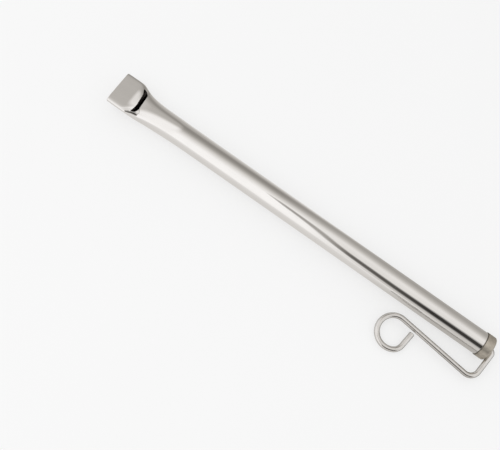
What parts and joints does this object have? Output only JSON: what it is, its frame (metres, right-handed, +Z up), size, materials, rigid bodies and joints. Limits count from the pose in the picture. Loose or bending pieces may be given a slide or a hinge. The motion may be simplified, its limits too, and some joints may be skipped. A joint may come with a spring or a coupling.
{
  "type": "slide whistle",
  "caption": "Plated tube whistle with a flattened bill, a crescent window and pressed lip, and a piston drawn by a bent wire handle that ends in a finger ring.",
  "frame": {"origin": "under the middle of the whole object's box, on the table that it lies on, with the slide pushed in", "axes": "+X along the barrel from the mouth to the handle end, +Z up out of the window, so the handle lies on the -Y side"},
  "size_m": [0.293, 0.0508, 0.0167],
  "materials": {
    "plated_tube": "bright nickel plate",
    "satin_cap": "satin nickel plate",
    "plated_wire": "bright drawn wire, nickel plated",
    "steel_washer": "plain stamped steel",
    "brass_nut": "turned brass",
    "cup_leather": "greased cup leather",
    "wool_felt": "pressed wool felt",
    "block_wood": "dark sealed hardwood"
  },
  "bodies": {
    "barrel": {"barrel_tube": "plated_tube", "windway_block": "block_wood", "end_cap": "satin_cap", "bumper_washer": "wool_felt"},
    "piston_packing": {"front_leather_cup": "cup_leather", "felt_packing": "wool_felt", "rear_leather_cup": "cup_leather"},
    "slide_rod": {"slide_wire": "plated_wire", "front_nut": "brass_nut", "front_washer": "steel_washer", "rear_washer": "steel_washer", "rear_nut": "brass_nut"}
  },
  "joints": [
    {"name": "slide_travel", "type": "slide", "parent": "barrel", "child": "piston_packing", "axis": [1, 0, 0], "range_m": [0, 0.1955]},
    {"name": "handle_swivel", "type": "hinge", "parent": "piston_packing", "child": "slide_rod", "pos_m": [0.1, 0.01327, 0.00836], "axis": [-1, 0, 0], "continuous": true}
  ]
}
